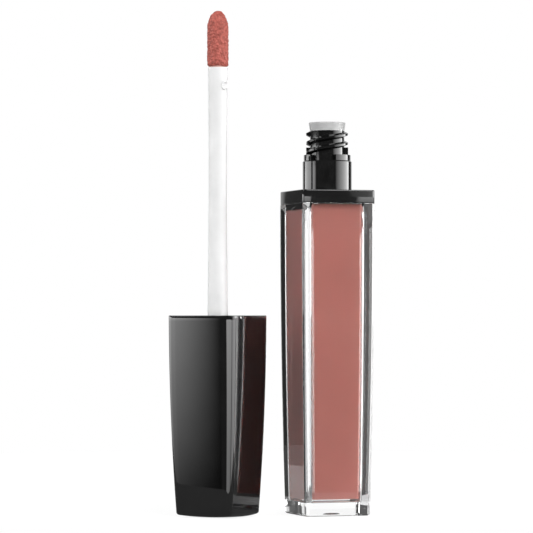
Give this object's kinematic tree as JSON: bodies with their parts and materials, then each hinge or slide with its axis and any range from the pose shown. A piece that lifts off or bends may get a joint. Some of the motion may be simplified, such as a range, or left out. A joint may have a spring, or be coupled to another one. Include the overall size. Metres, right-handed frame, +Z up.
{
  "type": "lip gloss tube",
  "caption": "Square tapered clear bottle with a wiper in its threaded neck, and a tapered screw cap that carries a wand with a flocked tip.",
  "frame": {"origin": "centre of the bottle's base, on the surface it stands on", "axes": "+Z up along the bottle's axis, X and Y square to the bottle's faces; the applicator stands at -X"},
  "size_m": [0.041, 0.0203, 0.1],
  "materials": {
    "clear_wall": "clear, polished thick plastic",
    "clear_vial": "clear, polished thin plastic",
    "gloss": "thick pink liquid",
    "collar_black": "black, polished",
    "neck_black": "black, polished",
    "wiper_plastic": "milky, translucent",
    "cap_black": "black, polished",
    "liner_black": "black, satin",
    "stem_plastic": "milky, translucent",
    "tip_rubber": "soft moulded core",
    "flock": "short dense flock, wet with gloss"
  },
  "bodies": {
    "container": {"bottle": "clear_wall", "inner_vial": "clear_vial", "gloss_fill": "gloss", "collar": "collar_black", "neck_insert": "neck_black", "wiper": "wiper_plastic"},
    "wand": {"wand_stem": "stem_plastic"},
    "applicator": {"cap_shell": "cap_black", "cap_liner": "liner_black", "tip_core": "tip_rubber", "tip_flock": "flock"}
  },
  "joints": [
    {"name": "applicator_lift", "type": "slide", "parent": "container", "child": "wand", "axis": [0, 0, 1], "range_m": [0, 0.08]},
    {"name": "cap_turn", "type": "hinge", "parent": "wand", "child": "applicator", "pos_m": [-0.02319, -0.00098, 0], "axis": [0, 0, 1], "range_deg": [0, 405]}
  ]
}
